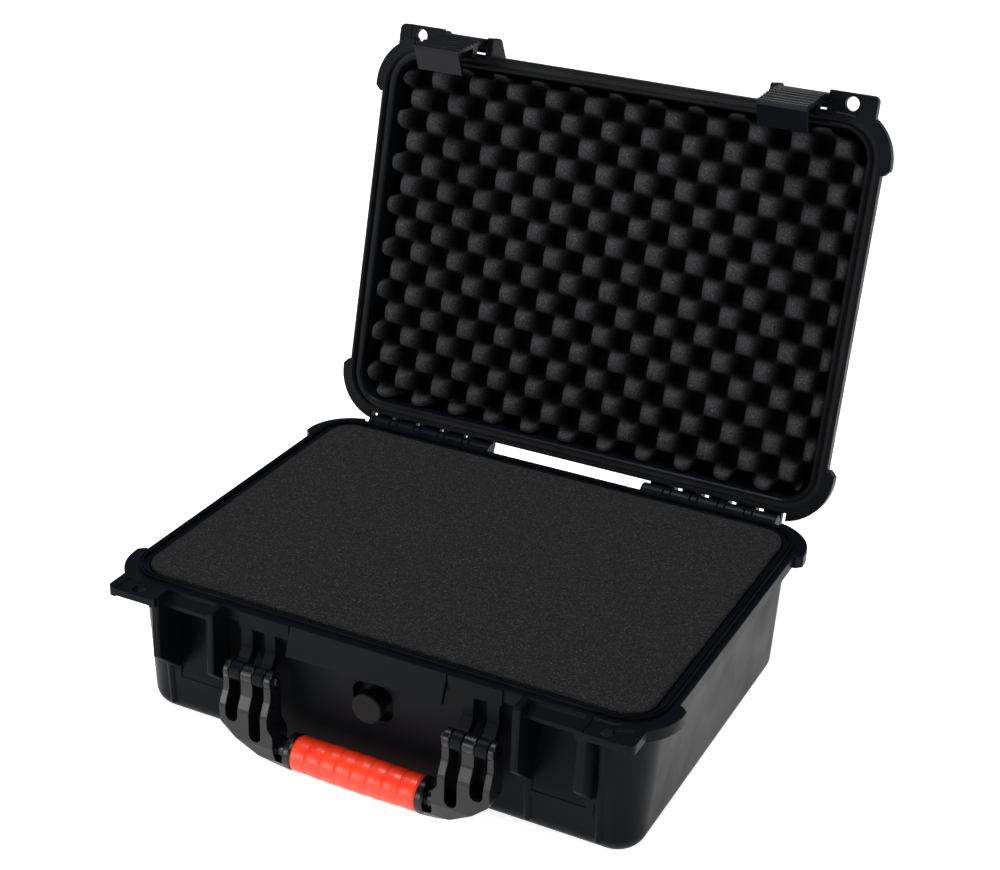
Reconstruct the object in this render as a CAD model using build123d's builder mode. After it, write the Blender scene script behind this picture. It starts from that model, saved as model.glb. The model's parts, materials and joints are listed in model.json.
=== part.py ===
"""A hard equipment case standing open: base, hinged lid, two latches, a folding handle and a pressure valve.

The origin is the centre of the base's underside. +X is to the right, -Y is the front, +Z is up, all in mm.
The lid and its latches are drawn closed and turned open about the hinge before they are written.
"""

from build123d import *
import os

# shell
WALL_TOP = (189.7, -140.0, 138.0)  # half width, front and back of the wall where it meets the rim
BASE_BOTTOM = (183.8, -132.9, 134.5)  # the same at the underside
LID_TOP = (183.8, -133.5, 133.5)  # the same at the top of the closed lid
RIM_WALL_RADIUS = 31.0
END_WALL_RADIUS = 19.0  # corner radius at the underside and at the lid's top
EDGE_FILLET = 14.4
RIM_BOTTOM = 98.0
LEDGE_Z = 107.5
LID_RIM_Z = 107.8
LID_RIM_TOP = 117.0
LID_HEIGHT = 174.0
RIM_HALF = (197.0, 144.5, 32.0)  # half width, half depth and corner radius of the rim
BUMPER_HALF = (203.0, 150.5, 38.0)
BUMPER_START = (173.0, 106.0)  # the bumpers fill the corners beyond these
TONGUE_OUTER = (193.0, 140.6, 28.0)
TONGUE_INNER = (190.0, 137.6, 25.0)
TONGUE_TOP = 110.5
TONGUE_GROOVE = ((192.0, 139.6, 27.0), (191.0, 138.6, 26.0))
TONGUE_GROOVE_DEPTH = 1.0
GROOVE_OUTER = (194.2, 141.8, 29.2)
GROOVE_INNER = (188.8, 136.4, 23.8)
GROOVE_ROOF = 114.8
GASKET_BOTTOM = 111.3
GASKET_LIP_BOTTOM = 108.9
GASKET_LIP = 0.7
CAVITY_RIM = (186.0, 134.0, 21.0)
BASE_FLOOR = 4.0
BASE_CAVITY_FLOOR = (180.2, -129.3, 130.9)
LID_CEILING = 170.5
LID_CAVITY_CEILING = (180.2, -129.9, 129.9)
CAVITY_FLOOR_RADIUS = 17.0
CAVITY_FILLET = 10.5
MOUTH_CHAMFER = 1.0
RIM_CHAMFER = 0.7

# foam
FOAM_GAP = 0.5
LID_FOAM_GAP = 1.0
FOAM_TOP = 110.0
FOAM_SPLITS = (BASE_FLOOR, 16.0, 63.0, FOAM_TOP)
LID_FOAM_FACE = 111.4
BAY_FOAM_FRONT = -119.5
BAY_FOAM_Z = (26.0, 100.5)
VALVE_FOAM_FRONT = -118.0
VALVE_FOAM_Z = (44.0, 84.0)

# hinge
HINGE_Y = 152.0
HINGE_Z = 103.5
HINGE_RADIUS = 7.0
HINGE_PIN_RADIUS = 2.5
HINGE_PIN_SPAN = (66.0, 167.0)
RUNNING_GAP = 0.1
SIDE_GAP = 0.3
EDGE_BREAK = 0.5
RIB_BEVEL = 1.0
LID_OPEN = 103.1
BASE_KNUCKLES = ((63.5, 80.8), (87.0, 102.0), (108.2, 123.6), (129.6, 144.4), (150.8, 169.0))
LID_KNUCKLES = ((81.1, 86.7), (102.3, 107.9), (123.9, 129.3), (144.7, 150.5))
HOODS = ((66.0, 81.1), (91.5, 102.3), (112.6, 123.9), (134.0, 144.7), (155.2, 169.0))
BASE_KNUCKLE_ARM = ((143, 98), (146, 97), (152, 97), (152, 107.5), (143, 107.5))
LID_KNUCKLE_ARM = (
    (143, 107.8), (146.5, 107.8), (152, 105), (158.2, 107), (156.5, 114), (150, 117), (143, 117),
)
HOOD = ((143, 111.6), (152, 111.6), (156.5, 112.2), (155, 115.6), (150, 117), (143, 117))

# latches
INNER_RIB = (108.5, 114.0)
OUTER_RIB = (151.5, 157.0)
BASE_RIB = ((-136, 107.5), (-158.5, 107.5), (-159.3, 61), (-138, 42.5), (-131, 42.5))
LID_RIB = ((-134, 107.8), (-157.5, 107.8), (-157.5, 124), (-137, 141), (-130, 141))
BAY_SCOOP = ((-123.6, 84.0), (-126.6, 68.0), (-131.4, 52.0), (-134.9, 40.0), (-135.5, 34.0))
BAY_TOP = 96.0
BAY_HOUSING = (
    (-136, 99.5), (-120.3, 99.5), (-120.3, 83), (-122.8, 67), (-127.4, 52), (-131.5, 38), (-134, 30),
    (-136, 30),
)
CATCH = ((-134, 96), (-149.5, 96), (-149.5, 99), (-144.4, 104.5), (-134, 104.5))
LATCH_SPAN = (114.4, 150.9)
LATCH_PIVOT = (-150.5, 119.0)
LATCH_BARREL_RADIUS = 5.0
LATCH_PIN_RADIUS = 2.0
LATCH_PIN_SPAN = (110.5, 155.0)
LATCH_PLATE = (
    (-155.5, 119), (-155.4, 111), (-154.6, 99), (-151.2, 84), (-146.2, 64), (-143.5, 64.8),
    (-148.3, 84), (-151.6, 99), (-152.4, 111), (-150.5, 115),
)
LATCH_FOLD = ((-146.2, 64), (-129, 75.5), (-129.8, 78), (-146, 67.4))
LATCH_HOOK = ((-151.5, 88), (-141, 88), (-141, 95.6), (-150.2, 95.6), (-152.2, 93))
LATCH_RIDGES = 9
LATCH_RIDGE_LINE = ((-155.0, 112.0), (-154.2, 99.0), (-150.8, 84.0), (-146.6, 67.5))
RIDGE_RADIUS = 1.4
LATCH_GUSSET = ((-150.5, 84), (-145.5, 65), (-137, 70.5), (-141, 90), (-151, 90))
LATCH_GUSSETS = (0.22, 0.5, 0.78)
GUSSET_HALF = 1.5

# padlock ears
BASE_EAR_FRONT = -161.5
LID_EAR_FRONT = -158.8
BASE_EAR_ENDS = ((152.0, 156.5), (183.5, 190.0))  # the thick parts at both ends of each ear's plate
LID_EAR_ENDS = ((152.0, 158.6), (177.5, 187.0))
EAR_DROP = 0.6  # the plate lies this far behind its ends
EAR_THICKNESS = 5.0
EAR_END_HEIGHT = 6.6
EAR_CORNER = 4.5
EAR_RELIEF = 0.8
BASE_EAR_HOLE = (169.6, -153.6, 4.5)  # centre and radius
LID_EAR_HOLE = (169.0, -151.4, 5.0)

# wall beads below the latch bays
BEAD_CENTRES = (110.9, 160.3)
BEAD_RADIUS = 3.0
BEAD_Y = -132.5  # where the bead's axis passes the bottom ball
BEAD_Z = (11.0, 98.0)
BEAD_BACK = -131.4

# handle
HANDLE_PIVOT = (-156.0, 69.5)
KNUCKLE_RADIUS = 6.5
HANDLE_PIN_RADIUS = 2.5
HANDLE_PIN_SPAN = (60.5, 97.2)
LUGS = ((68.5, 76.5), (86.0, 94.5))
LUG_ARM = (
    (-136, 98), (-146, 98), (-146, 82), (-150, 76), (-156, 74), (-156, 63), (-150, 64), (-144, 72),
    (-136, 80),
)
SKIRT_SPAN = (58.0, 96.0)
SKIRT = ((-137, 107.5), (-146, 107.5), (-146, 96.5), (-143.4, 96.5), (-143.4, 99), (-137, 99))
PANEL_HALF = 57.0
PANEL = ((-137, 107.5), (-145.5, 107.5), (-151.7, 88.3), (-149, 87.4), (-143.6, 99), (-137, 99))
WING_OUTLINE = (
    (99, 69.5), (99.6, 50), (99.4, 34.5), (88, 24.5), (72, 14.5), (60, 10), (48, 7.5), (48, 13),
    (58, 14.5), (59, 20), (59, 33), (63, 39), (63, 69.5),
)
WING_PROFILE = (
    (-150, 70), (-161.3, 70), (-161.3, 57), (-162.3, 55.5), (-166, 47.5), (-166.6, 45), (-166.6, 24),
    (-164.5, 14), (-160, 7), (-152, 5), (-148.5, 12), (-148.5, 60),
)
WING_ROUNDING = 4.0
FINGERS = ((63.0, 68.0), (77.0, 85.5), (95.0, 99.0))
WING_SLOTS = ((68.0, 77.0, 30.0), (85.5, 95.0, 41.0))
GRIP_CENTRE = (-155.2, 19.5)
GRIP_RADIUS = 12.8
GRIP_END_RADIUS = 12.0
GRIP_HALF = 46.3
GRIP_CORE_RADIUS = 7.0
GRIP_GROOVES = 7
GROOVE_WIDTH = 0.8
GROOVE_DEPTH = 0.5
COLLAR_SPAN = (46.3, 52.0)
COLLAR_RADIUS = 12.4
COLLAR_BEVEL = 1.2

# valve
VALVE_Z = 63.5
RECESS_HALF = 14.5
RECESS_Z = (50.5, 77.5)
RECESS_CORNER = 8.0
RECESS_BACK = -130.0
RECESS_WALL = 3.5
VALVE_STEM_RADIUS = 5.0
VALVE_FLANGE_RADIUS = 8.0
SPINDLE_RADIUS = 3.0
KNOB_RADIUS = 11.0
KNOB_BACK = -139.6
KNOB_FACE = -147.0
KNOB_EDGE = 1.5


def both_sides(span):
    """The span on the right and its mirror on the left."""
    return ((span[0], span[1]), (-span[1], -span[0]))


def outline(z, half_x, front, back, radius):
    """A rounded rectangle at height z."""
    with BuildSketch(Plane.XY.offset(z)) as shape:
        with Locations((0, (front + back) / 2)):
            RectangleRounded(2 * half_x, back - front, radius)
    return shape.sketch


def centred(z, half_x, half_y, radius):
    """A rounded rectangle at height z, centred on the origin."""
    return outline(z, half_x, -half_y, half_y, radius)


def bar(points, span, bevel=0):
    """A straight bar along X with the given outline in Y and Z, its edges chamfered where asked."""
    with BuildPart() as piece:
        with BuildSketch(Plane.YZ.offset(span[0])):
            with BuildLine():
                Polyline(*points, close=True)
            make_face()
        extrude(amount=span[1] - span[0])
        if bevel:
            chamfer(piece.edges(), bevel)
    return piece.part


def rod(centre, radius, span, bevel=0):
    """A round bar along X about a centre in Y and Z, its rims chamfered where asked."""
    with BuildPart() as piece:
        with BuildSketch(Plane.YZ.offset(span[0])):
            with Locations(centre):
                Circle(radius)
        extrude(amount=span[1] - span[0])
        if bevel:
            chamfer(piece.edges().filter_by(GeomType.CIRCLE), bevel)
    return piece.part


def disc(radius, back, face):
    """A round piece about the valve's axis, from its back to its face along Y."""
    with BuildPart() as piece:
        with BuildSketch(Plane.XZ.offset(-back)):
            with Locations((0, VALVE_Z)):
                Circle(radius)
        extrude(amount=back - face)
    return piece.part


def block(x, y, z):
    """A box between pairs of limits."""
    with BuildPart() as piece:
        with Locations(((x[0] + x[1]) / 2, (y[0] + y[1]) / 2, (z[0] + z[1]) / 2)):
            Box(x[1] - x[0], y[1] - y[0], z[1] - z[0])
    return piece.part


def ring(bottom, top, outer, inner):
    """A rounded rectangular ring."""
    with BuildPart() as piece:
        extrude(centred(bottom, *outer), amount=top - bottom)
        extrude(centred(bottom, *inner), amount=top - bottom, mode=Mode.SUBTRACT)
    return piece.part


def tube(centre, inner, outer, span):
    """A hollow round bar along X."""
    with BuildPart() as piece:
        add(rod(centre, outer, span))
        add(rod(centre, inner, span), mode=Mode.SUBTRACT)
    return piece.part


def hollow(z, floor_z, floor, gap=0):
    """The tapered space inside a shell, from its floor to height z at the rim, less a gap all round."""
    half_x, front, back = floor
    with BuildPart() as piece:
        loft(
            sections=[
                outline(floor_z, half_x - gap, front + gap, back - gap, CAVITY_FLOOR_RADIUS),
                centred(z, CAVITY_RIM[0] - gap, CAVITY_RIM[1] - gap, CAVITY_RIM[2]),
            ]
        )
        fillet(piece.edges().filter_by_position(Axis.Z, floor_z - 0.1, floor_z + 0.1), CAVITY_FILLET)
    return piece.part


def rim_band(bottom, top):
    """The thick rim round a shell's mouth, thicker still at the corners, with chamfered outer edges."""
    with BuildPart() as piece:
        extrude(centred(bottom, *RIM_HALF), amount=top - bottom)
        add(corner_bumpers(bottom, top))
        chamfer(piece.faces().filter_by(Axis.Z).edges(), RIM_CHAMFER)
    return piece.part


def corner_bumpers(bottom, top):
    """The thickened rim at the four corners."""
    with BuildPart() as piece:
        with BuildSketch(Plane.XY.offset(bottom)):
            RectangleRounded(2 * BUMPER_HALF[0], 2 * BUMPER_HALF[1], BUMPER_HALF[2])
            Rectangle(2 * BUMPER_START[0], 400, mode=Mode.SUBTRACT)
            Rectangle(500, 2 * BUMPER_START[1], mode=Mode.SUBTRACT)
        extrude(amount=top - bottom)
        ends = piece.edges().filter_by(Axis.Z).filter_by_position(Axis.Y, -107, 107)
        outer = [e for e in ends if abs(e.center().X) > 200]
        chamfer(outer, 4.0)
    return piece.part


def ears(parting, direction, front, ends):
    """The padlock ears on one rim, growing up or down from the parting plane."""
    plate = sorted((parting + direction * EAR_DROP, parting + direction * (EAR_DROP + EAR_THICKNESS)))
    end = sorted((parting, parting + direction * EAR_END_HEIGHT))
    with BuildPart() as piece:
        for span in both_sides((ends[0][0], ends[1][1])):
            add(block(span, (front, -136), plate))
        for limits in ends:
            for span in both_sides(limits):
                add(block(span, (front, -136), end))
        corners = piece.edges().filter_by(Axis.Z).filter_by_position(Axis.Y, front - 1, front + 1)
        fillet([e for e in corners if abs(e.center().X) > ends[1][1] - 1], EAR_CORNER)
    return piece.part


def ear_holes(hole, parting, direction):
    """The two padlock holes of one rim, with room for the shackle beyond the plate, as solids to cut away."""
    x, y, radius = hole
    near = parting + direction * EAR_DROP
    far = near + direction * EAR_THICKNESS
    with BuildPart() as piece:
        with Locations((x, y, parting), (-x, y, parting)):
            Cylinder(radius, 40)
        for limits in (sorted((near, near - direction * 20)), sorted((far, far + direction * 20))):
            with Locations((x, y, sum(limits) / 2), (-x, y, sum(limits) / 2)):
                Cylinder(radius + EAR_RELIEF, 20)
    return piece.part


def knuckles(spans, arm):
    """One leaf of both hinges: barrels on arms, not yet bored."""
    with BuildPart() as piece:
        for knuckle in spans:
            for span in both_sides(knuckle):
                add(rod((HINGE_Y, HINGE_Z), HINGE_RADIUS, span, EDGE_BREAK))
                add(bar(arm, span))
    return piece.part


def ribs(profile):
    """The ribs beside both latch bays."""
    with BuildPart() as piece:
        for rib in (INNER_RIB, OUTER_RIB):
            for span in both_sides(rib):
                add(bar(profile, span, RIB_BEVEL))
    return piece.part


def bay_scoop(span):
    """The space scooped out of the wall between two ribs, running out smoothly at its lower end."""
    with BuildPart() as piece:
        with BuildSketch(Plane.YZ.offset(span[0])):
            with BuildLine():
                Line((BAY_SCOOP[0][0], BAY_TOP), BAY_SCOOP[0])
                Spline(*BAY_SCOOP)
                Polyline(BAY_SCOOP[-1], (-170, BAY_SCOOP[-1][1]), (-170, BAY_TOP), (BAY_SCOOP[0][0], BAY_TOP))
            make_face()
        extrude(amount=span[1] - span[0])
    return piece.part


def base_body():
    """The base's outer wall and rim before the latch, valve and handle features."""
    with BuildPart() as piece:
        under = outline(0, *BASE_BOTTOM, END_WALL_RADIUS)
        loft(sections=[under, outline(RIM_BOTTOM, *WALL_TOP, RIM_WALL_RADIUS)])
        fillet(piece.faces().sort_by(Axis.Z)[0].edges(), EDGE_FILLET)
        add(rim_band(RIM_BOTTOM, LEDGE_Z))
        extrude(centred(LEDGE_Z, *TONGUE_OUTER), amount=TONGUE_TOP - LEDGE_Z)
        extrude(centred(LEDGE_Z, *TONGUE_INNER), amount=TONGUE_TOP - LEDGE_Z, mode=Mode.SUBTRACT)
        add(ring(TONGUE_TOP - TONGUE_GROOVE_DEPTH, TONGUE_TOP, *TONGUE_GROOVE), mode=Mode.SUBTRACT)
        add(hollow(LEDGE_Z, BASE_FLOOR, BASE_CAVITY_FLOOR), mode=Mode.SUBTRACT)
    return piece.part


def bead(x):
    """A half-round bead down the front wall with a rounded bottom, following the wall's slope."""
    slope = (WALL_TOP[1] - BASE_BOTTOM[1]) / RIM_BOTTOM
    length = BEAD_Z[1] - BEAD_Z[0]
    with BuildPart() as piece:
        with Locations(Plane((x, BEAD_Y, BEAD_Z[0]), z_dir=(0, slope, 1))):
            Cylinder(BEAD_RADIUS, length, align=(Align.CENTER, Align.CENTER, Align.MIN))
            Sphere(BEAD_RADIUS)
        wide = (x - 2 * BEAD_RADIUS, x + 2 * BEAD_RADIUS)
        add(block(wide, (BEAD_BACK - 20, BEAD_BACK), (0, 120)), mode=Mode.INTERSECT)
    return piece.part


def valve_recess():
    """The rounded space that the valve sits in."""
    with BuildPart() as piece:
        with BuildSketch(Plane.XZ.offset(-RECESS_BACK)):
            with Locations((0, (RECESS_Z[0] + RECESS_Z[1]) / 2)):
                RectangleRounded(2 * RECESS_HALF, RECESS_Z[1] - RECESS_Z[0], RECESS_CORNER)
        extrude(amount=30)
    return piece.part


def make_base():
    """The moulded base with its bays, ears, lugs, hinge leaf and valve recess."""
    with BuildPart() as base:
        add(base_body())
        for span in both_sides((INNER_RIB[0], OUTER_RIB[1])):
            add(bar(BAY_HOUSING, span))
        add(block((-RECESS_HALF - 3, RECESS_HALF + 3), (-135, RECESS_BACK + RECESS_WALL), (47, 81)))
        for span in both_sides((INNER_RIB[1], OUTER_RIB[0])):
            add(bay_scoop(span), mode=Mode.SUBTRACT)
            add(bar(CATCH, span))
        add(valve_recess(), mode=Mode.SUBTRACT)
        add(ribs(BASE_RIB))
        add(ears(LEDGE_Z, -1, BASE_EAR_FRONT, BASE_EAR_ENDS))
        for centre in BEAD_CENTRES:
            add(bead(centre))
            add(bead(-centre))
        add(bar(PANEL, (-PANEL_HALF, PANEL_HALF)))
        for span in both_sides(SKIRT_SPAN):
            add(bar(SKIRT, span))
        for lug in LUGS:
            for span in both_sides(lug):
                add(bar(LUG_ARM, span))
                add(rod(HANDLE_PIVOT, KNUCKLE_RADIUS, span, EDGE_BREAK))
        add(knuckles(BASE_KNUCKLES, BASE_KNUCKLE_ARM))
        add(ear_holes(BASE_EAR_HOLE, LEDGE_Z, -1), mode=Mode.SUBTRACT)
        for span in both_sides(HINGE_PIN_SPAN):
            add(rod((HINGE_Y, HINGE_Z), HINGE_PIN_RADIUS, span), mode=Mode.SUBTRACT)
        for span in both_sides(HANDLE_PIN_SPAN):
            add(rod(HANDLE_PIVOT, HANDLE_PIN_RADIUS, span), mode=Mode.SUBTRACT)
        add(disc(VALVE_STEM_RADIUS, -115, -140), mode=Mode.SUBTRACT)
    return base


def make_lid():
    """The moulded lid, drawn closed."""
    with BuildPart() as lid:
        crown = outline(LID_HEIGHT, *LID_TOP, END_WALL_RADIUS)
        loft(sections=[outline(LID_RIM_TOP, *WALL_TOP, RIM_WALL_RADIUS), crown])
        fillet(lid.faces().sort_by(Axis.Z)[-1].edges(), EDGE_FILLET)
        add(rim_band(LID_RIM_Z, LID_RIM_TOP))
        add(ribs(LID_RIB))
        add(ears(LID_RIM_Z, 1, LID_EAR_FRONT, LID_EAR_ENDS))
        add(hollow(LID_RIM_Z, LID_CEILING, LID_CAVITY_CEILING), mode=Mode.SUBTRACT)
        mouth = [value + MOUTH_CHAMFER for value in CAVITY_RIM]
        loft(
            sections=[centred(LID_RIM_Z, *mouth), centred(LID_RIM_Z + MOUTH_CHAMFER, *CAVITY_RIM)],
            mode=Mode.SUBTRACT,
        )
        add(ring(LID_RIM_Z, GROOVE_ROOF, GROOVE_OUTER, GROOVE_INNER), mode=Mode.SUBTRACT)
        add(knuckles(LID_KNUCKLES, LID_KNUCKLE_ARM))
        for hood in HOODS:
            for span in both_sides(hood):
                add(bar(HOOD, span))
        add(ear_holes(LID_EAR_HOLE, LID_RIM_Z, 1), mode=Mode.SUBTRACT)
        add(rod((HINGE_Y, HINGE_Z), HINGE_PIN_RADIUS + RUNNING_GAP, (-200, 200)), mode=Mode.SUBTRACT)
        for span in both_sides(LATCH_PIN_SPAN):
            add(rod(LATCH_PIVOT, LATCH_PIN_RADIUS, span), mode=Mode.SUBTRACT)
    return lid


def make_foam(bottom, top):
    """One flat foam layer in the base, cut away behind the latch bays and the valve."""
    with BuildPart() as layer:
        add(hollow(FOAM_TOP, BASE_FLOOR, BASE_CAVITY_FLOOR, FOAM_GAP))
        add(block((-200, 200), (-200, 200), (bottom, top)), mode=Mode.INTERSECT)
        for span in both_sides((INNER_RIB[0] - 1, OUTER_RIB[1] + 1)):
            add(block(span, (-150, BAY_FOAM_FRONT), BAY_FOAM_Z), mode=Mode.SUBTRACT)
        recess = (-RECESS_HALF - 5, RECESS_HALF + 5)
        add(block(recess, (-150, VALVE_FOAM_FRONT), VALVE_FOAM_Z), mode=Mode.SUBTRACT)
    return layer


def make_lid_foam():
    """The foam that fills the lid, drawn closed."""
    with BuildPart() as foam:
        add(hollow(LID_FOAM_FACE, LID_CEILING, LID_CAVITY_CEILING, LID_FOAM_GAP))
    return foam


def make_latch(span):
    """One latch, drawn closed: ridged plate, inward fold, hook, cheeks and pivot barrel."""
    with BuildPart() as latch:
        add(bar(LATCH_PLATE, span))
        add(bar(LATCH_FOLD, span))
        add(bar(LATCH_HOOK, span))
        add(rod(LATCH_PIVOT, LATCH_BARREL_RADIUS, span))
        with BuildLine(mode=Mode.PRIVATE) as face:
            Spline(*[(0, y, z) for y, z in LATCH_RIDGE_LINE])
        for index in range(LATCH_RIDGES):
            place = face.line @ (index / (LATCH_RIDGES - 1))
            add(rod((place.Y, place.Z), RIDGE_RADIUS, span))
        for share in LATCH_GUSSETS:
            middle = span[0] + share * (span[1] - span[0])
            add(bar(LATCH_GUSSET, (middle - GUSSET_HALF, middle + GUSSET_HALF)))
        add(rod(LATCH_PIVOT, LATCH_PIN_RADIUS + RUNNING_GAP, (span[0] - 5, span[1] + 5)), mode=Mode.SUBTRACT)
    return latch


def wing(sign):
    """One end of the handle: a slotted plate with three knuckles."""
    with BuildPart() as piece:
        with BuildSketch(Plane.XZ.offset(140)):
            with BuildLine():
                Polyline(*[(sign * x, z) for x, z in WING_OUTLINE], close=True)
            make_face()
        extrude(amount=40)
        add(bar(WING_PROFILE, (-120, 120)), mode=Mode.INTERSECT)
        corners = piece.edges().filter_by(Axis.Y).filter_by_position(Axis.Z, 12, 36)
        fillet([e for e in corners if abs(e.center().X) > 70], WING_ROUNDING)
        for left, right, bottom in WING_SLOTS:
            add(block(sorted((sign * left, sign * right)), (-175, -140), (bottom, 90)), mode=Mode.SUBTRACT)
            middle = sign * (left + right) / 2
            with Locations(Plane((middle, -158, bottom), z_dir=(0, 1, 0))):
                Cylinder((right - left) / 2, 40, mode=Mode.SUBTRACT)
        for finger in FINGERS:
            add(rod(HANDLE_PIVOT, KNUCKLE_RADIUS, sorted((sign * finger[0], sign * finger[1])), EDGE_BREAK))
        pin = sorted((sign * (HANDLE_PIN_SPAN[0] - 5), sign * (HANDLE_PIN_SPAN[1] + SIDE_GAP)))
        add(rod(HANDLE_PIVOT, HANDLE_PIN_RADIUS + RUNNING_GAP, pin), mode=Mode.SUBTRACT)
    return piece.part


def make_handle():
    """The handle frame: two wings joined by a core bar with a collar at each end of the grip."""
    with BuildPart() as handle:
        add(wing(1))
        add(wing(-1))
        add(rod(GRIP_CENTRE, GRIP_CORE_RADIUS, (-62, 62)))
        for span in both_sides(COLLAR_SPAN):
            add(rod(GRIP_CENTRE, COLLAR_RADIUS, span, COLLAR_BEVEL))
    return handle


def make_grip():
    """The soft sleeve on the handle, slightly barrelled, with fine grooves round it."""
    end_z = GRIP_CENTRE[1] + GRIP_END_RADIUS
    core_z = GRIP_CENTRE[1] + GRIP_CORE_RADIUS
    with BuildPart() as grip:
        with BuildSketch(Plane.XZ.offset(-GRIP_CENTRE[0])):
            with BuildLine():
                ThreePointArc((-GRIP_HALF, end_z), (0, GRIP_CENTRE[1] + GRIP_RADIUS), (GRIP_HALF, end_z))
                Polyline((GRIP_HALF, end_z), (GRIP_HALF, core_z), (-GRIP_HALF, core_z), (-GRIP_HALF, end_z))
            make_face()
        revolve(axis=Axis((0, GRIP_CENTRE[0], GRIP_CENTRE[1]), (1, 0, 0)))
        pitch = 2 * GRIP_HALF / (GRIP_GROOVES + 1)
        for index in range(GRIP_GROOVES):
            x = -GRIP_HALF + pitch * (index + 1)
            span = (x - GROOVE_WIDTH / 2, x + GROOVE_WIDTH / 2)
            add(tube(GRIP_CENTRE, GRIP_RADIUS - GROOVE_DEPTH, GRIP_RADIUS + 2, span), mode=Mode.SUBTRACT)
    return grip


def make_rod(centre, radius, span):
    """A plain pin along X."""
    with BuildPart() as pin:
        with BuildSketch(Plane.YZ.offset(span[0])):
            with Locations(centre):
                Circle(radius)
        extrude(amount=span[1] - span[0])
        chamfer(pin.edges().filter_by(GeomType.CIRCLE), 0.3)
    return pin


def make_valve_body():
    """The fixed part of the valve: threaded stem through the wall, flange and spindle."""
    with BuildPart() as body:
        add(disc(VALVE_STEM_RADIUS, RECESS_BACK + RECESS_WALL + 6, RECESS_BACK))
        add(disc(VALVE_STEM_RADIUS, RECESS_BACK, RECESS_BACK - 1.5))
        add(disc(VALVE_FLANGE_RADIUS, RECESS_BACK - 1.5, RECESS_BACK - 5))
        add(disc(SPINDLE_RADIUS, RECESS_BACK - 5, KNOB_FACE + 3.5))
    return body


def make_valve_seal():
    """The sealing ring between the valve's flange and the wall."""
    with BuildPart() as seal:
        add(disc(VALVE_FLANGE_RADIUS - 0.5, RECESS_BACK, RECESS_BACK - 1.5))
        add(disc(VALVE_STEM_RADIUS, RECESS_BACK, RECESS_BACK - 1.5), mode=Mode.SUBTRACT)
    return seal


def make_valve_nut():
    """The hexagon nut that holds the valve from inside."""
    inner_face = RECESS_BACK + RECESS_WALL
    with BuildPart() as nut:
        with BuildSketch(Plane.XZ.offset(-inner_face - 4)):
            with Locations((0, VALVE_Z)):
                RegularPolygon(7.5, 6, major_radius=False)
                Circle(VALVE_STEM_RADIUS, mode=Mode.SUBTRACT)
        extrude(amount=4)
    return nut


def make_valve_knob():
    """The round knob that turns on the valve's spindle."""
    with BuildPart() as knob:
        add(disc(KNOB_RADIUS, KNOB_BACK, KNOB_FACE))
        fillet(knob.edges().filter_by(GeomType.CIRCLE).sort_by(Axis.Y)[0], KNOB_EDGE)
        add(disc(SPINDLE_RADIUS + 2.2, RECESS_BACK - 5.4, KNOB_BACK))
        add(disc(SPINDLE_RADIUS + RUNNING_GAP, RECESS_BACK - 5, KNOB_FACE + 3.1), mode=Mode.SUBTRACT)
    return knob


def turn_open(piece):
    """Turns a piece drawn closed about the hinge to where it stands in the open case."""
    axis = Location((0, HINGE_Y, HINGE_Z))
    piece.part = axis * Rot(-LID_OPEN, 0, 0) * axis.inverse() * piece.part


def save(piece, name):
    """Names one finished piece and writes its STEP file."""
    piece.part.label = name
    export_step(piece.part, f"parts/{name}.step")


os.makedirs("parts", exist_ok=True)

save(make_base(), "base_shell")
for name, bottom, top in zip(("foam_bottom", "foam_middle", "foam_top"), FOAM_SPLITS, FOAM_SPLITS[1:]):
    save(make_foam(bottom, top), name)
save(make_valve_body(), "valve_body")
save(make_valve_seal(), "valve_seal")
save(make_valve_nut(), "valve_nut")
save(make_valve_knob(), "valve_knob")
save(make_handle(), "handle_frame")
save(make_grip(), "handle_grip")

lid_shell = make_lid()
turn_open(lid_shell)
save(lid_shell, "lid_shell")

lid_foam = make_lid_foam()
turn_open(lid_foam)
save(lid_foam, "lid_foam")

with BuildPart() as lid_gasket:
    add(ring(GASKET_BOTTOM, GROOVE_ROOF, GROOVE_OUTER, GROOVE_INNER))
    add(ring(GASKET_LIP_BOTTOM, GASKET_BOTTOM, GROOVE_OUTER, [value - GASKET_LIP for value in GROOVE_OUTER]))
    add(ring(GASKET_LIP_BOTTOM, GASKET_BOTTOM, [value + GASKET_LIP for value in GROOVE_INNER], GROOVE_INNER))
turn_open(lid_gasket)
save(lid_gasket, "lid_gasket")

for side, mirrored in (("right", 0), ("left", 1)):
    hinge_span = both_sides(HINGE_PIN_SPAN)[mirrored]
    save(make_rod((HINGE_Y, HINGE_Z), HINGE_PIN_RADIUS, hinge_span), f"hinge_pin_{side}")
    handle_span = both_sides(HANDLE_PIN_SPAN)[mirrored]
    save(make_rod(HANDLE_PIVOT, HANDLE_PIN_RADIUS, handle_span), f"handle_pin_{side}")
    latch_pin = make_rod(LATCH_PIVOT, LATCH_PIN_RADIUS, both_sides(LATCH_PIN_SPAN)[mirrored])
    turn_open(latch_pin)
    save(latch_pin, f"latch_pin_{side}")
    latch = make_latch(both_sides(LATCH_SPAN)[mirrored])
    turn_open(latch)
    save(latch, f"latch_{side}")
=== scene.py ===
"""The looks of the open equipment case.

Moulded plastic, foam, a sleeve on the handle, a floor, light and a camera. Foam sizes are in mm, others in m.
"""

import json
from math import cos, pi, radians, sin, sqrt, tanh

import bmesh
import bpy
from mathutils import Matrix, Vector, noise

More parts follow.
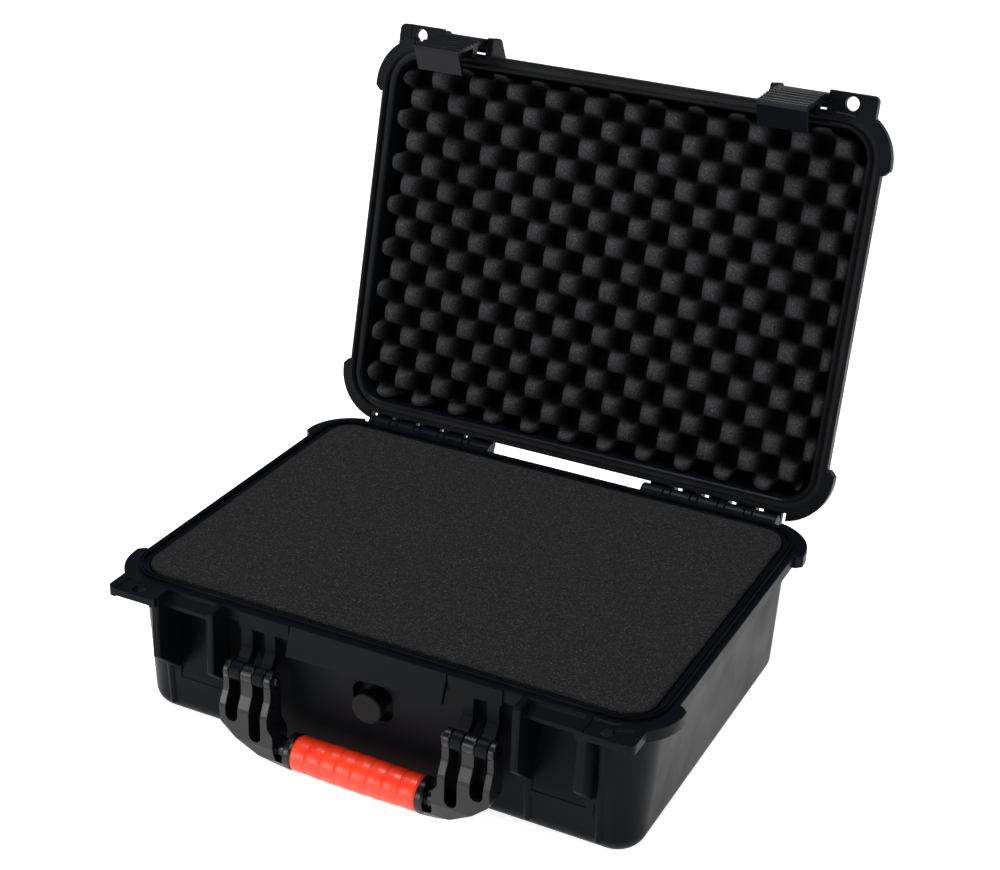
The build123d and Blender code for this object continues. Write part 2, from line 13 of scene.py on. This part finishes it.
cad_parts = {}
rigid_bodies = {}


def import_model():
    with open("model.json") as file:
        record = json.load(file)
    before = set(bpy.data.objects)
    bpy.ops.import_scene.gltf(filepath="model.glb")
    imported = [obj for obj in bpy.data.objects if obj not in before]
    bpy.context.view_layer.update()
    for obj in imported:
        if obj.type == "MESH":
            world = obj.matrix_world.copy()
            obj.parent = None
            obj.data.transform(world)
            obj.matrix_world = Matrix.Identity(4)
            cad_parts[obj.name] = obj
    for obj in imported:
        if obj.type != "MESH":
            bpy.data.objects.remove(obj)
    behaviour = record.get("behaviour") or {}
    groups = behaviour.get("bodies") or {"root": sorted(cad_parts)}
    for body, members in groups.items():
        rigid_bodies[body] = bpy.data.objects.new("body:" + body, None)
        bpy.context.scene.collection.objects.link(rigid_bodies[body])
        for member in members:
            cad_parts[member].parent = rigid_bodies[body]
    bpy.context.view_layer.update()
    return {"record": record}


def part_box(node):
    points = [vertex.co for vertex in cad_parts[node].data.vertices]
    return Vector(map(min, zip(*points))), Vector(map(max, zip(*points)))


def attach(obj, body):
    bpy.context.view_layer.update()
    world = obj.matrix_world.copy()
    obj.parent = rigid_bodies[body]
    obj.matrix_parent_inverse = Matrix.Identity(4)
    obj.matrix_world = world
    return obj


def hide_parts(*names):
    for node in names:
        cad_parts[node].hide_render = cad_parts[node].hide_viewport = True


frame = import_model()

MM = 0.001
LENS = 69.2
CAMERA_PLACE = Vector((0.5212, -1.0415, 0.7586))
CAMERA_AZIMUTH = radians(25.8)
CAMERA_ELEVATION = radians(25.7)
CAMERA_ROLL = radians(2.0)

BUMP_PITCH = (16.0, 16.9)
BUMP_START = (6.5, 13.9)  # a lump's centre, in the closed lid
BUMP_DEPTH = 22.0
BLUNTNESS = 1.9
FOAM_CELL = 1.6
FOAM_SEED = 5  # noise_vector differs from run to run without one
FOAM_CORNER = 20.0
FOAM_EDGE = 2.6  # width of the rounding along a flat layer's edge
BASE_FOAM_GAP = 0.6
LID_FOAM_GAP = 1.1
GRIP_GROOVES = 7

CAVITY_MOUTH = (186.0, -134.0, 134.0)  # half width, front and back of both cavities at the rim, in mm
CAVITY_FILLET = 10.5
BASE_MOUTH, BASE_FLOOR, BASE_FLOOR_SECTION = 107.5, 4.0, (180.2, -129.3, 130.9)
LID_MOUTH, LID_FLOOR, LID_FLOOR_SECTION = 111.4, 170.5, (180.2, -129.9, 129.9)
# near and far |x|, low and high z, and how far forward the foam may come there
NOTCHES = ((106.8, 158.6, 25.6, 101.0, -118.8), (0.0, 21.4, 37.6, 84.4, -117.4))

noise.seed_set(FOAM_SEED)


# ---------------------------------------------------------------- materials

def new_material(name, color, roughness, specular=0.5):
    """A Principled material with its even values set on the shader's own sockets."""
    material = bpy.data.materials.new(name)
    material.use_nodes = True
    shader = material.node_tree.nodes["Principled BSDF"]
    shader.inputs["Base Color"].default_value = (*color, 1)
    shader.inputs["Roughness"].default_value = roughness
    shader.inputs["Specular IOR Level"].default_value = specular
    return material, material.node_tree, shader


def noise_node(tree, scale, detail=2.0, rough=0.5):
    """Noise in the object's own coordinates, which are metres."""
    coords = tree.nodes.new("ShaderNodeTexCoord")
    texture = tree.nodes.new("ShaderNodeTexNoise")
    texture.inputs["Scale"].default_value = scale
    texture.inputs["Detail"].default_value = detail
    texture.inputs["Roughness"].default_value = rough
    tree.links.new(coords.outputs["Object"], texture.inputs["Vector"])
    return texture


def ramp_node(tree, source, stops):
    """Maps a texture's value to colours."""
    ramp = tree.nodes.new("ShaderNodeValToRGB")
    ramp.color_ramp.elements[0].position = stops[0][0]
    ramp.color_ramp.elements[0].color = (*stops[0][1], 1)
    ramp.color_ramp.elements[1].position = stops[-1][0]
    ramp.color_ramp.elements[1].color = (*stops[-1][1], 1)
    for position, color in stops[1:-1]:
        element = ramp.color_ramp.elements.new(position)
        element.color = (*color, 1)
    tree.links.new(source, ramp.inputs["Fac"])
    return ramp


def add_bump(tree, shader, source, strength, distance):
    """Roughens the surface with a texture's value."""
    bump = tree.nodes.new("ShaderNodeBump")
    bump.inputs["Strength"].default_value = strength
    bump.inputs["Distance"].default_value = distance
    tree.links.new(source, bump.inputs["Height"])
    tree.links.new(bump.outputs["Normal"], shader.inputs["Normal"])
    return bump


def moulded(name, color, roughness, grain=0.25, specular=0.14):
    """Moulded plastic: fine spark-eroded grain, softened edges and slightly uneven gloss."""
    material, tree, shader = new_material(name, color, roughness, specular)
    cloud = noise_node(tree, 30, 3)
    smooth, rough = (roughness - 0.05,) * 3, (roughness + 0.06,) * 3
    gloss = ramp_node(tree, cloud.outputs["Fac"], ((0.3, smooth), (0.7, rough)))
    tree.links.new(gloss.outputs["Color"], shader.inputs["Roughness"])
    fine = noise_node(tree, 1500, 2, 0.6)
    bump = add_bump(tree, shader, fine.outputs["Fac"], grain, 0.00012)
    soften = tree.nodes.new("ShaderNodeBevel")
    soften.samples = 4
    soften.inputs["Radius"].default_value = 0.0006
    tree.links.new(soften.outputs["Normal"], bump.inputs["Normal"])
    return material


def foam_material(name, dark, light, speck, grain_scale):
    """Open-cell foam: dark, quite matt, with a light speckle of cell walls."""
    material, tree, shader = new_material(name, dark, 1.0, 0.05)
    grain = noise_node(tree, grain_scale, 3, 0.7)
    colour = ramp_node(tree, grain.outputs["Fac"], ((0.35, dark), (0.6, light), (0.78, speck)))
    tree.links.new(colour.outputs["Color"], shader.inputs["Base Color"])
    add_bump(tree, shader, grain.outputs["Fac"], 0.9, 0.0008)
    return material


def paint_pit_shade(material):
    """Paints shade into open-cell foam's colour: darker toward the bottom of its pits, where less light
    reaches the cells.
    """
    tree = material.node_tree
    shader = tree.nodes["Principled BSDF"]
    depth = tree.nodes.new("ShaderNodeAttribute")
    depth.attribute_name = "depth"
    # painted shade: the foam's colour is multiplied darker the deeper a point lies in a pit
    pit_shade = ramp_node(tree, depth.outputs["Fac"], ((0.04, (1.0,) * 3), (0.4, (0.34,) * 3), (0.9, (0.04,) * 3)))
    mix = tree.nodes.new("ShaderNodeMix")
    mix.data_type = "RGBA"
    mix.blend_type = "MULTIPLY"
    mix.inputs["Factor"].default_value = 1.0
    colour = shader.inputs["Base Color"].links[0].from_socket
    tree.links.new(colour, mix.inputs["A"])
    tree.links.new(pit_shade.outputs["Color"], mix.inputs["B"])
    tree.links.new(mix.outputs["Result"], shader.inputs["Base Color"])


def grip_material(name):
    """Glossy orange-red sleeve with faint moulding unevenness."""
    material, tree, shader = new_material(name, (0.9, 0.045, 0.011), 0.33, 0.4)
    cloud = noise_node(tree, 60, 2)
    colour = ramp_node(tree, cloud.outputs["Fac"], ((0.3, (0.86, 0.034, 0.006)), (0.7, (0.91, 0.045, 0.010))))
    tree.links.new(colour.outputs["Color"], shader.inputs["Base Color"])
    fine = noise_node(tree, 700, 2)
    add_bump(tree, shader, fine.outputs["Fac"], 0.03, 0.0001)
    shader.inputs["Subsurface Weight"].default_value = 0.08
    shader.inputs["Subsurface Radius"].default_value = (0.004, 0.001, 0.0006)
    return material


def steel_material(name):
    """Steel with a black oxide surface."""
    material, tree, shader = new_material(name, (0.035, 0.035, 0.037), 0.35)
    shader.inputs["Metallic"].default_value = 1.0
    fine = noise_node(tree, 900, 2)
    add_bump(tree, shader, fine.outputs["Fac"], 0.1, 0.0001)
    return material


MATERIALS = {
    "shell": moulded("shell_plastic", (0.0026, 0.0032, 0.0045), 0.38, 0.25, 0.057),
    "latch": moulded("latch_plastic", (0.003, 0.0035, 0.005), 0.3, 0.12, 0.14),
    "handle": moulded("handle_plastic", (0.003, 0.0033, 0.0045), 0.26, 0.1, 0.3),
    "valve": moulded("valve_plastic", (0.004, 0.0042, 0.005), 0.4, 0.25, 0.1),
    "knob": moulded("knob_plastic", (0.005, 0.0052, 0.006), 0.46, 0.25, 0.1),
    "seal": moulded("seal_rubber", (0.003, 0.003, 0.0035), 0.5, 0.1, 0.16),
    "steel": steel_material("pin_steel"),
    "foam": foam_material(
        "base_foam", (0.008, 0.008, 0.0085), (0.022, 0.022, 0.0232), (0.12, 0.12, 0.122), 900),
    "lid_foam": foam_material(
        "lid_foam_cells", (0.02, 0.02, 0.0215), (0.05, 0.05, 0.053), (0.16, 0.16, 0.165), 850),
    "grip": grip_material("grip_sleeve"),
}
# the lid foam gets painted shade in its pits
paint_pit_shade(MATERIALS["lid_foam"])

for part in frame["record"]["subparts"]:
    node = bpy.data.objects[part["node"]]
    node.data.materials.clear()
    node.data.materials.append(MATERIALS[part["material_slot"]])


# ---------------------------------------------------------------- foam meshes

def round_corner(x, y, half_x, half_y, radius):
    """Moves a point of a plain rectangle to the same place in one with round corners."""
    u = max(abs(x) - (half_x - radius), 0) / radius
    v = max(abs(y) - (half_y - radius), 0) / radius
    if u == 0 or v == 0:
        return x, y
    du = u * sqrt(1 - v * v / 2) - u
    dv = v * sqrt(1 - u * u / 2) - v
    return x + du * radius * (1 if x > 0 else -1), y + dv * radius * (1 if y > 0 else -1)


def edge_lines(half, cell, fine):
    """Grid positions across a foam sheet, closer together beside its edges."""
    count = round(2 * (half - fine[-1]) / cell)
    inner = [-(half - fine[-1]) + 2 * (half - fine[-1]) * i / count for i in range(count + 1)]
    low = [-half + step for step in fine[:-1]]
    return low + inner + [-value for value in reversed(low)]


def section(z, floor_z, floor, mouth_z):
    """Half width, front and back of a cavity at height z, with its floor's rounding, in mm."""
    share = min(max((z - floor_z) / (mouth_z - floor_z), 0), 1)
    half_x, front, back = [low + (high - low) * share for low, high in zip(floor, CAVITY_MOUTH)]
    rise = max(CAVITY_FILLET - abs(z - floor_z), 0)
    inset = CAVITY_FILLET - sqrt(CAVITY_FILLET ** 2 - min(rise, CAVITY_FILLET) ** 2)
    return half_x - inset, front + inset, back - inset


def foam_sheet(name, half_x, half_y, radius, face, levels, wall, cell):
    """A closed foam block: a grid for its face, then loops of its wall down to a flat back. Sizes in mm."""
    fine = (0.0, 0.25, 0.8, 1.6, 2.6)
    xs = edge_lines(half_x, cell, fine)
    ys = edge_lines(half_y, cell, fine)
    mesh = bmesh.new()
    rows = []
    for y in ys:
        row = []
        for x in xs:
            px, py = round_corner(x, y, half_x, half_y, radius)
            inward = min(half_x - abs(x), half_y - abs(y))
            row.append(mesh.verts.new(face(px, py, inward)))
        rows.append(row)
    for j in range(len(ys) - 1):
        for i in range(len(xs) - 1):
            mesh.faces.new((rows[j][i], rows[j][i + 1], rows[j + 1][i + 1], rows[j + 1][i]))
    border = rows[0][:-1] + [row[-1] for row in rows[:-1]] + rows[-1][:0:-1] + [row[0] for row in rows[:0:-1]]
    ring = border
    for level in levels:
        lower = [mesh.verts.new(wall(vertex.co.x, vertex.co.y, level)) for vertex in border]
        for k, vertex in enumerate(ring):
            after = (k + 1) % len(ring)
            mesh.faces.new((ring[after], vertex, lower[k], lower[after]))
        ring = lower
    mesh.faces.new(list(reversed(ring)))
    bmesh.ops.recalc_face_normals(mesh, faces=mesh.faces)
    for polygon in mesh.faces:
        polygon.smooth = True
    for vertex in mesh.verts:
        vertex.co *= MM
    data = bpy.data.meshes.new(name)
    mesh.to_mesh(data)
    mesh.free()
    piece = bpy.data.objects.new(name, data)
    bpy.context.scene.collection.objects.link(piece)
    return piece


def node_size(node):
    """A node's half width, front, back and Z limits, in mm."""
    low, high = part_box(node)
    return (high[0] - low[0]) / 2 / MM, low[1] / MM, high[1] / MM, low[2] / MM, high[2] / MM


def notched(x, y, z):
    """Keeps a point of the base's foam out of the space behind the latch bays and the valve."""
    for near, far, low, high, front in NOTCHES:
        if near <= abs(x) <= far and low <= z <= high:
            return max(y, front)
    return y


def flat_foam(node):
    """A flat foam layer with soft edges and a slightly uneven face, in place of a plain CAD layer."""
    half_x, front, back, low, high = node_size(node)
    centre = (front + back) / 2
    half_y = (back - front) / 2
    seed = Vector((high, low, 7.0))

    def face(x, y, inward):
        waver = noise.noise(Vector((x, y, 0)) * 0.045 + seed)
        shrink = 0.45 + 0.4 * noise.noise(Vector((x, y, 3)) * 0.06 + seed)
        rounding = 2.2 * (1 - sqrt(max(0.0, 1 - (1 - min(inward, FOAM_EDGE) / FOAM_EDGE) ** 2)))
        pull = shrink / max(abs(x), abs(y), 1)
        z = high - 0.35 + 0.3 * waver - rounding
        return x * (1 - pull), notched(x, centre + y * (1 - pull), z), z

    def wall(x, y, z):
        wide, near, far = section(z, BASE_FLOOR, BASE_FLOOR_SECTION, BASE_MOUTH)
        grown_x = x * (wide - BASE_FOAM_GAP) / half_x
        grown_y = (near + far) / 2 + (y - centre) * ((far - near) / 2 - BASE_FOAM_GAP) / half_y
        return grown_x, notched(x, grown_y, z), z

    near_floor = {low + 0.05, low + 1, low + 3, low + 6, low + 10}
    beside_notches = {25.4, 25.8, 100.8, 101.2}
    steps = sorted(near_floor | beside_notches | {(low + high) / 2, high - 4})
    levels = [z for z in reversed(steps) if low < z < high - 3]
    piece = foam_sheet(node + "_cut", half_x, half_y, FOAM_CORNER, face, levels, wall, FOAM_CELL * 1.6)
    piece.data.materials.append(MATERIALS["foam"])
    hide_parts(node)
    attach(piece, "base")
    return piece


for layer in ("foam_bottom", "foam_middle", "foam_top"):
    flat_foam(layer)


hinge = next(joint for joint in frame["record"]["behaviour"]["joints"] if joint["name"] == "lid_hinge")
HINGE = Vector(hinge["pos_m"])
OPENING = radians(hinge["range_deg"][1])
TO_OPEN = Matrix.Translation(HINGE) @ Matrix.Rotation(-OPENING, 4, "X") @ Matrix.Translation(-HINGE)

LID_FACE = 111.5
LID_BACK = 170.4
LID_HALF = (184.8, 132.8, 20.5)


def blunt(value):
    """Flattens the tops and the bottoms of a wave."""
    return tanh(BLUNTNESS * value) / tanh(BLUNTNESS)


def egg_crate(x, y, inward):
    """The lid foam's face: blunt square lumps and deep pits in a checkerboard."""
    bend = noise.noise_vector(Vector((x, y, 0)) * 0.03) * 0.8
    across = blunt(cos(pi * (x - BUMP_START[0] + bend.x) / BUMP_PITCH[0]))
    along = blunt(cos(pi * (y - BUMP_START[1] + bend.y) / BUMP_PITCH[1]))
    level = (1 - across * along) / 2
    uneven = 0.3 * noise.noise(Vector((x, y, 9)) * 0.2)
    near_edge = max(0.0, 1 - inward / 12) ** 2
    gap = 0.3 + 0.3 * noise.noise(Vector((x, y, 5)) * 0.05)
    pull = (gap + 7.0 * level) * near_edge / max(abs(x), abs(y), 1)
    rounding = 2.5 * max(0.0, 1 - inward / 4) ** 2
    height = LID_FACE + 0.4 + uneven + min(BUMP_DEPTH * level + rounding, BUMP_DEPTH + 1)
    return x * (1 - pull), y * (1 - pull), height


def lid_foam_wall(x, y, z):
    """The lid foam's side, which follows the lid's tapering wall."""
    wide, _, far = section(z, LID_FLOOR, LID_FLOOR_SECTION, LID_MOUTH)
    return x * (wide - LID_FOAM_GAP) / LID_HALF[0], y * (far - LID_FOAM_GAP) / LID_HALF[1], z


lid_levels = (136.0, 150.0, 160.5, 165.0, 168.0, 169.6, LID_BACK)
lid_foam = foam_sheet("lid_foam_egg_crate", *LID_HALF, egg_crate, lid_levels, lid_foam_wall, FOAM_CELL)
shade = lid_foam.data.attributes.new("depth", "FLOAT", "POINT")
for vertex, value in zip(lid_foam.data.vertices, shade.data):
    value.value = min(max((vertex.co.z / MM - LID_FACE) / BUMP_DEPTH, 0.0), 1.0)
lid_foam.data.transform(TO_OPEN)
lid_foam.data.materials.append(MATERIALS["lid_foam"])
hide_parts("lid_foam")
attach(lid_foam, "lid")


# ---------------------------------------------------------------- grip sleeve

def grip_sleeve():
    """The ribbed sleeve: a barrelled tube with fine grooves round it and rolled ends."""
    low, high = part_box("handle_grip")
    centre = (low + high) / 2
    half = (high.x - low.x) / 2
    outer = (high.z - low.z) / 2
    inner = 0.0072
    grooves = [-half + (i + 1) * 2 * half / (GRIP_GROOVES + 1) for i in range(GRIP_GROOVES)]
    count = 190
    stations = [-half + 2 * half * i / count for i in range(count + 1)]
    profile = [(-half, inner), (-half, outer * 0.86)]
    for x in stations:
        barrel = outer * (0.935 + 0.065 * (1 - (x / half) ** 2))
        near = min(abs(x - groove) for groove in grooves)
        cut = 0.00055 * max(0.0, 1 - (near / 0.0009) ** 2)
        swell = 0.00022 * cos(pi * min(near, 0.006) / 0.012)
        roll = 0.0011 * max(0.0, 1 - (half - abs(x)) / 0.0016) ** 2
        profile.append((x, barrel - cut - swell - roll))
    profile += [(half, outer * 0.86), (half, inner)]
    mesh = bmesh.new()
    around = 72
    rings = []
    for x, radius in profile:
        ring = []
        for k in range(around):
            angle = 2 * pi * k / around
            ring.append(mesh.verts.new(centre + Vector((x, radius * cos(angle), radius * sin(angle)))))
        rings.append(ring)
    rings.append(rings[0])
    for first, second in zip(rings, rings[1:]):
        for k in range(around):
            after = (k + 1) % around
            mesh.faces.new((first[k], first[after], second[after], second[k]))
    bmesh.ops.recalc_face_normals(mesh, faces=mesh.faces)
    for polygon in mesh.faces:
        polygon.smooth = True
    data = bpy.data.meshes.new("grip_sleeve")
    mesh.to_mesh(data)
    mesh.free()
    piece = bpy.data.objects.new("grip_sleeve", data)
    bpy.context.scene.collection.objects.link(piece)
    piece.data.materials.append(MATERIALS["grip"])
    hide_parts("handle_grip")
    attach(piece, "handle")


grip_sleeve()


# ---------------------------------------------------------------- floor, light, camera

def studio_floor():
    """A wide pale floor."""
    mesh = bmesh.new()
    bmesh.ops.create_grid(mesh, x_segments=8, y_segments=8, size=24)
    data = bpy.data.meshes.new("studio_floor")
    mesh.to_mesh(data)
    mesh.free()
    floor = bpy.data.objects.new("studio_floor", data)
    floor.location = (0, 0, -0.0002)
    bpy.context.scene.collection.objects.link(floor)
    material, tree, shader = new_material("floor_paper", (0.9, 0.9, 0.9), 0.9, 0.1)
    shader.inputs["Emission Color"].default_value = (1, 1, 1, 1)
    shader.inputs["Emission Strength"].default_value = 0.85
    grain = noise_node(tree, 40, 2)
    colour = ramp_node(tree, grain.outputs["Fac"], ((0.4, (0.89, 0.89, 0.89)), (0.6, (0.91, 0.91, 0.91))))
    tree.links.new(colour.outputs["Color"], shader.inputs["Base Color"])
    data.materials.append(material)


def softbox(name, place, target, size, power, color=(1, 1, 1)):
    """A rectangular area light that faces a point."""
    light = bpy.data.lights.new(name, "AREA")
    light.shape = "RECTANGLE"
    light.size, light.size_y = size
    light.energy = power
    light.color = color
    lamp = bpy.data.objects.new(name, light)
    lamp.location = place
    direction = Vector(target) - Vector(place)
    lamp.rotation_euler = direction.to_track_quat("-Z", "Y").to_euler()
    bpy.context.scene.collection.objects.link(lamp)


studio_floor()
softbox("top_box", (-0.3, 0.1, 2.6), (0, 0, 0), (0.9, 0.8), 57)
softbox("right_box", (2.2, -0.5, 1.2), (0.1, 0, 0.1), (0.8, 0.7), 12)
softbox("front_left_box", (-1.6, -1.8, 1.5), (0, 0, 0.1), (0.5, 0.5), 3)
softbox("lid_box", (-0.9, -1.75, 0.5), (0, 0.2, 0.25), (0.8, 0.7), 13)

world = bpy.data.worlds.new("studio")
world.use_nodes = True
world.node_tree.nodes["Background"].inputs["Color"].default_value = (1, 1, 1, 1)
world.node_tree.nodes["Background"].inputs["Strength"].default_value = 0.16
bpy.context.scene.world = world
bpy.context.scene.view_settings.view_transform = "Standard"

camera = bpy.data.cameras.new("camera")
camera.lens = LENS
camera.sensor_width = 36
camera.clip_end = 100
viewer = bpy.data.objects.new("camera", camera)
right = Vector((cos(CAMERA_AZIMUTH), sin(CAMERA_AZIMUTH), 0))
level = cos(CAMERA_ELEVATION)
back = Vector((sin(CAMERA_AZIMUTH) * level, -cos(CAMERA_AZIMUTH) * level, sin(CAMERA_ELEVATION)))
up = back.cross(right)
axis_x = cos(CAMERA_ROLL) * right + sin(CAMERA_ROLL) * up
axis_y = -sin(CAMERA_ROLL) * right + cos(CAMERA_ROLL) * up
viewer.matrix_world = Matrix.Translation(CAMERA_PLACE) @ Matrix((axis_x, axis_y, back)).transposed().to_4x4()
bpy.context.scene.collection.objects.link(viewer)
bpy.context.scene.camera = viewer

bpy.context.view_layer.update()
